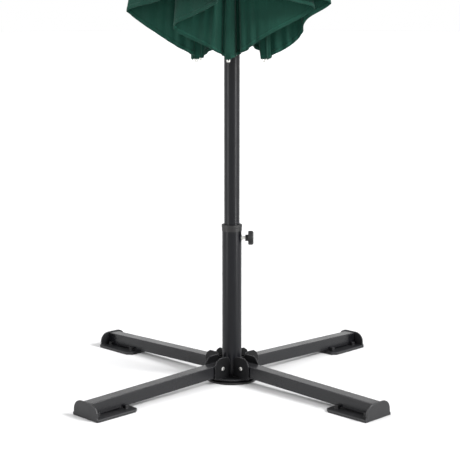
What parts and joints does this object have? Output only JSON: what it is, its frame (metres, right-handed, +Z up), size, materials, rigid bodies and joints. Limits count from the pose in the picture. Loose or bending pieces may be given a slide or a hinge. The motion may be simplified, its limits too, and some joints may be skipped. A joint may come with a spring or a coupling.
{
  "type": "patio umbrella with cross base",
  "caption": "Closed centre-pole patio umbrella with hanging cloth lobes, standing in a clamped tube on a folding cross base with flanged feet",
  "frame": {"origin": "on the floor under the pole axis, at the bottom centre of the box", "axes": "+Z up along the pole; the four legs lie along +X, +Y, -X and -Y; the clamp knob stands out between +X and +Y"},
  "size_m": [0.932, 0.932, 2.2335],
  "materials": {
    "pole_steel": "satin charcoal powder coat",
    "leg_steel": "satin charcoal powder coat",
    "bracket_steel": "satin black powder coat on pressed steel",
    "frame_steel": "satin charcoal powder coat",
    "zinc": "bright zinc plate",
    "dark_plastic": "fine moulded grain",
    "foot_plastic": "moulded, slightly worn",
    "canopy_cloth": "dark green plain-weave polyester"
  },
  "bodies": {
    "base": {"hub_plate": "bracket_steel", "hub_pad": "dark_plastic", "base_tube": "pole_steel", "collar": "dark_plastic", "clamp_insert": "zinc", "leg_bracket_1": "bracket_steel", "leg_bracket_2": "bracket_steel", "leg_bracket_3": "bracket_steel", "leg_bracket_4": "bracket_steel", "pivot_bolt_1": "zinc", "pivot_bolt_2": "zinc", "pivot_bolt_3": "zinc", "pivot_bolt_4": "zinc"},
    "leg_arm_1": {"leg_1": "leg_steel", "foot_1": "foot_plastic"},
    "leg_arm_2": {"leg_2": "leg_steel", "foot_2": "foot_plastic"},
    "leg_arm_3": {"leg_3": "leg_steel", "foot_3": "foot_plastic"},
    "leg_arm_4": {"leg_4": "leg_steel", "foot_4": "foot_plastic"},
    "clamp_screw": {"clamp_screw": "zinc"},
    "clamp_knob": {"knob": "dark_plastic"},
    "pole": {"pole_lower": "pole_steel", "pole_upper": "pole_steel", "top_hub": "dark_plastic", "finial": "dark_plastic", "crank_housing": "dark_plastic"},
    "crank": {"crank_arm": "frame_steel"},
    "crank_handle": {"crank_grip": "dark_plastic"},
    "rib_arm_1": {"rib_1": "frame_steel", "rib_tip_1": "zinc"},
    "rib_arm_2": {"rib_2": "frame_steel", "rib_tip_2": "zinc"},
    "rib_arm_3": {"rib_3": "frame_steel", "rib_tip_3": "zinc"},
    "rib_arm_4": {"rib_4": "frame_steel", "rib_tip_4": "zinc"},
    "rib_arm_5": {"rib_5": "frame_steel", "rib_tip_5": "zinc"},
    "rib_arm_6": {"rib_6": "frame_steel", "rib_tip_6": "zinc"},
    "strut_arm_1": {"strut_1": "frame_steel"},
    "strut_arm_2": {"strut_2": "frame_steel"},
    "strut_arm_3": {"strut_3": "frame_steel"},
    "strut_arm_4": {"strut_4": "frame_steel"},
    "strut_arm_5": {"strut_5": "frame_steel"},
    "strut_arm_6": {"strut_6": "frame_steel"},
    "runner": {"runner": "dark_plastic"},
    "panel_1": {"canopy_panel_1": "canopy_cloth"},
    "panel_2": {"canopy_panel_2": "canopy_cloth"},
    "panel_3": {"canopy_panel_3": "canopy_cloth"},
    "panel_4": {"canopy_panel_4": "canopy_cloth"},
    "panel_5": {"canopy_panel_5": "canopy_cloth"},
    "panel_6": {"canopy_panel_6": "canopy_cloth"}
  },
  "joints": [
    {"name": "leg_fold_1", "type": "hinge", "parent": "base", "child": "leg_arm_1", "pos_m": [0.049, 0, 0.0365], "axis": [0, -1, 0], "range_deg": [0, 90]},
    {"name": "leg_fold_2", "type": "hinge", "parent": "base", "child": "leg_arm_2", "pos_m": [0, 0.049, 0.0365], "axis": [1, 0, 0], "range_deg": [0, 90]},
    {"name": "leg_fold_3", "type": "hinge", "parent": "base", "child": "leg_arm_3", "pos_m": [-0.049, 0, 0.0365], "axis": [0, 1, 0], "range_deg": [0, 90]},
    {"name": "leg_fold_4", "type": "hinge", "parent": "base", "child": "leg_arm_4", "pos_m": [0, -0.049, 0.0365], "axis": [-1, 0, 0], "range_deg": [0, 90]},
    {"name": "clamp_advance", "type": "slide", "parent": "base", "child": "clamp_screw", "axis": [0.7071, 0.7071, 0], "range_m": [0, 0.0025]},
    {"name": "clamp_turn", "type": "hinge", "parent": "clamp_screw", "child": "clamp_knob", "pos_m": [0.03182, 0.03182, 0.3555], "axis": [-0.7071, -0.7071, 0], "range_deg": [0, 720]},
    {"name": "pole_lift", "type": "slide", "parent": "base", "child": "pole", "axis": [0, 0, 1], "range_m": [0, 0.28]},
    {"name": "crank_turn", "type": "hinge", "parent": "pole", "child": "crank", "pos_m": [0.03289, -0.01197, 1.03], "axis": [0.9397, -0.342, 0], "range_deg": [0, 2880]},
    {"name": "crank_handle_spin", "type": "hinge", "parent": "crank", "child": "crank_handle", "pos_m": [0.05168, -0.01881, 0.975], "axis": [0.9397, -0.342, 0], "continuous": true},
    {"name": "canopy_open", "type": "hinge", "parent": "pole", "child": "rib_arm_1", "pos_m": [0.0225, -0.02681, 2.134], "axis": [-0.766, -0.6428, 0], "range_deg": [0, 68]},
    {"name": "rib_open_2", "type": "hinge", "parent": "pole", "child": "rib_arm_2", "pos_m": [0.03447, 0.00608, 2.134], "axis": [0.1736, -0.9848, 0], "range_deg": [0, 68]},
    {"name": "rib_open_3", "type": "hinge", "parent": "pole", "child": "rib_arm_3", "pos_m": [0.01197, 0.03289, 2.134], "axis": [0.9397, -0.342, 0], "range_deg": [0, 68]},
    {"name": "rib_open_4", "type": "hinge", "parent": "pole", "child": "rib_arm_4", "pos_m": [-0.0225, 0.02681, 2.134], "axis": [0.766, 0.6428, 0], "range_deg": [0, 68]},
    {"name": "rib_open_5", "type": "hinge", "parent": "pole", "child": "rib_arm_5", "pos_m": [-0.03447, -0.00608, 2.134], "axis": [-0.1736, 0.9848, 0], "range_deg": [0, 68]},
    {"name": "rib_open_6", "type": "hinge", "parent": "pole", "child": "rib_arm_6", "pos_m": [-0.01197, -0.03289, 2.134], "axis": [-0.9397, 0.342, 0], "range_deg": [0, 68]},
    {"name": "strut_fold_1", "type": "hinge", "parent": "rib_arm_1", "child": "strut_arm_1", "pos_m": [0.02667, -0.03179, 1.63382], "axis": [0.766, 0.6428, 0], "range_deg": [0, 136]},
    {"name": "strut_fold_2", "type": "hinge", "parent": "rib_arm_2", "child": "strut_arm_2", "pos_m": [0.04086, 0.00721, 1.63382], "axis": [-0.1736, 0.9848, 0], "range_deg": [0, 136]},
    {"name": "strut_fold_3", "type": "hinge", "parent": "rib_arm_3", "child": "strut_arm_3", "pos_m": [0.01419, 0.03899, 1.63382], "axis": [-0.9397, 0.342, 0], "range_deg": [0, 136]},
    {"name": "strut_fold_4", "type": "hinge", "parent": "rib_arm_4", "child": "strut_arm_4", "pos_m": [-0.02667, 0.03179, 1.63382], "axis": [-0.766, -0.6428, 0], "range_deg": [0, 136]},
    {"name": "strut_fold_5", "type": "hinge", "parent": "rib_arm_5", "child": "strut_arm_5", "pos_m": [-0.04086, -0.00721, 1.63382], "axis": [0.1736, -0.9848, 0], "range_deg": [0, 136]},
    {"name": "strut_fold_6", "type": "hinge", "parent": "rib_arm_6", "child": "strut_arm_6", "pos_m": [-0.01419, -0.03899, 1.63382], "axis": [0.9397, -0.342, 0], "range_deg": [0, 136]},
    {"name": "runner_ride", "type": "hinge", "parent": "strut_arm_1", "child": "runner", "pos_m": [0.0225, -0.02681, 1.13363], "axis": [-0.766, -0.6428, 0], "range_deg": [0, 68]},
    {"name": "panel_spread_1", "type": "hinge", "parent": "rib_arm_1", "child": "panel_1", "pos_m": [0.61809, -0.22496, 1.77339], "axis": [0.8114, -0.2953, -0.5044], "range_deg": [0, 64.94], "deforming": ["canopy_panel_1"]},
    {"name": "panel_spread_2", "type": "hinge", "parent": "rib_arm_2", "child": "panel_2", "pos_m": [0.50387, 0.4228, 1.77339], "axis": [0.6615, 0.555, -0.5044], "range_deg": [0, 64.94], "deforming": ["canopy_panel_2"]},
    {"name": "panel_spread_3", "type": "hinge", "parent": "rib_arm_3", "child": "panel_3", "pos_m": [-0.11422, 0.64776, 1.77339], "axis": [-0.1499, 0.8504, -0.5044], "range_deg": [0, 64.94], "deforming": ["canopy_panel_3"]},
    {"name": "panel_spread_4", "type": "hinge", "parent": "rib_arm_4", "child": "panel_4", "pos_m": [-0.61809, 0.22496, 1.77339], "axis": [-0.8114, 0.2953, -0.5044], "range_deg": [0, 64.94], "deforming": ["canopy_panel_4"]},
    {"name": "panel_spread_5", "type": "hinge", "parent": "rib_arm_5", "child": "panel_5", "pos_m": [-0.50387, -0.4228, 1.77339], "axis": [-0.6615, -0.555, -0.5044], "range_deg": [0, 64.94], "deforming": ["canopy_panel_5"]},
    {"name": "panel_spread_6", "type": "hinge", "parent": "rib_arm_6", "child": "panel_6", "pos_m": [0.11422, -0.64776, 1.77339], "axis": [0.1499, -0.8504, -0.5044], "range_deg": [0, 64.94], "deforming": ["canopy_panel_6"]}
  ],
  "couplings": [
    {"joint": "clamp_advance", "follows": "clamp_turn", "m_per_rad": 0.00019894},
    {"joint": "rib_open_2", "follows": "canopy_open", "ratio": 1},
    {"joint": "rib_open_3", "follows": "canopy_open", "ratio": 1},
    {"joint": "rib_open_4", "follows": "canopy_open", "ratio": 1},
    {"joint": "rib_open_5", "follows": "canopy_open", "ratio": 1},
    {"joint": "rib_open_6", "follows": "canopy_open", "ratio": 1},
    {"joint": "strut_fold_1", "follows": "canopy_open", "ratio": 2},
    {"joint": "strut_fold_2", "follows": "canopy_open", "ratio": 2},
    {"joint": "strut_fold_3", "follows": "canopy_open", "ratio": 2},
    {"joint": "strut_fold_4", "follows": "canopy_open", "ratio": 2},
    {"joint": "strut_fold_5", "follows": "canopy_open", "ratio": 2},
    {"joint": "strut_fold_6", "follows": "canopy_open", "ratio": 2},
    {"joint": "runner_ride", "follows": "canopy_open", "ratio": 1},
    {"joint": "crank_turn", "follows": "canopy_open", "ratio": 42.353},
    {"joint": "panel_spread_1", "follows": "canopy_open", "ratio": 0.95505},
    {"joint": "panel_spread_2", "follows": "canopy_open", "ratio": 0.95505},
    {"joint": "panel_spread_3", "follows": "canopy_open", "ratio": 0.95505},
    {"joint": "panel_spread_4", "follows": "canopy_open", "ratio": 0.95505},
    {"joint": "panel_spread_5", "follows": "canopy_open", "ratio": 0.95505},
    {"joint": "panel_spread_6", "follows": "canopy_open", "ratio": 0.95505}
  ]
}
